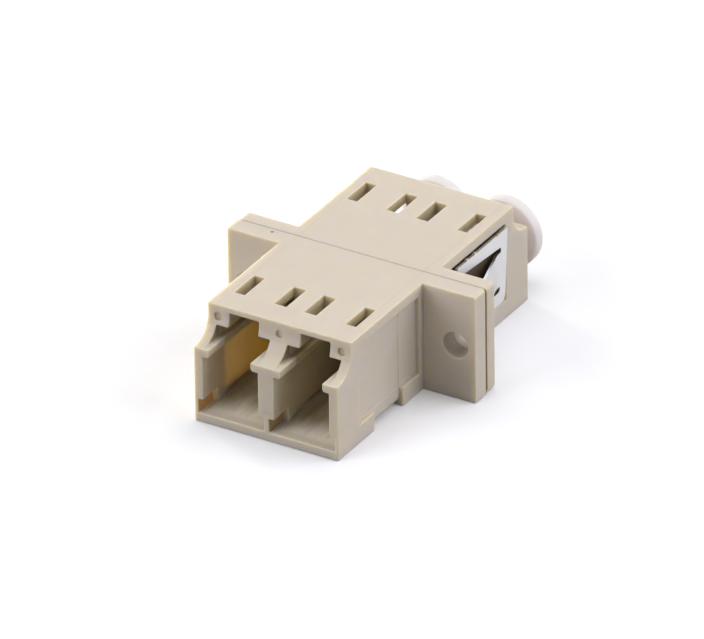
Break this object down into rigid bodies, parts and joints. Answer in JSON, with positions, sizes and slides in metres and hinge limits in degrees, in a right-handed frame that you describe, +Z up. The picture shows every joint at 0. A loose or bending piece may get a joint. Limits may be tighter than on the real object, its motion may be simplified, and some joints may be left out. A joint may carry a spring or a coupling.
{
  "type": "lc fibre adapter",
  "caption": "Flanged duplex fibre adapter with open ports in front, round dust caps in the ports behind, a bent steel panel clip and screw holes in its flange.",
  "frame": {"origin": "midway between the two screw holes, on the flange's rear face, which seats on the panel", "axes": "+X along the flange, +Y from the front ports to the rear ports, +Z up, away from the feet"},
  "size_m": [0.022, 0.0313, 0.0094],
  "materials": {
    "housing_plastic": "fine satin beige moulding",
    "clip_steel": "bright rolled stainless sheet",
    "sleeve_ceramic": "polished white ceramic",
    "cap_plastic": "soft translucent white moulding"
  },
  "bodies": {
    "adapter": {"front_housing": "housing_plastic", "rear_housing": "housing_plastic", "panel_clip": "clip_steel", "split_sleeve_left": "sleeve_ceramic", "split_sleeve_right": "sleeve_ceramic"},
    "left_cap": {"dust_cap_left": "cap_plastic"},
    "right_cap": {"dust_cap_right": "cap_plastic"}
  },
  "joints": [
    {"name": "left_cap_pull", "type": "slide", "parent": "adapter", "child": "left_cap", "axis": [0, 1, 0], "range_m": [0, 0.01]},
    {"name": "right_cap_pull", "type": "slide", "parent": "adapter", "child": "right_cap", "axis": [0, 1, 0], "range_m": [0, 0.01]}
  ]
}
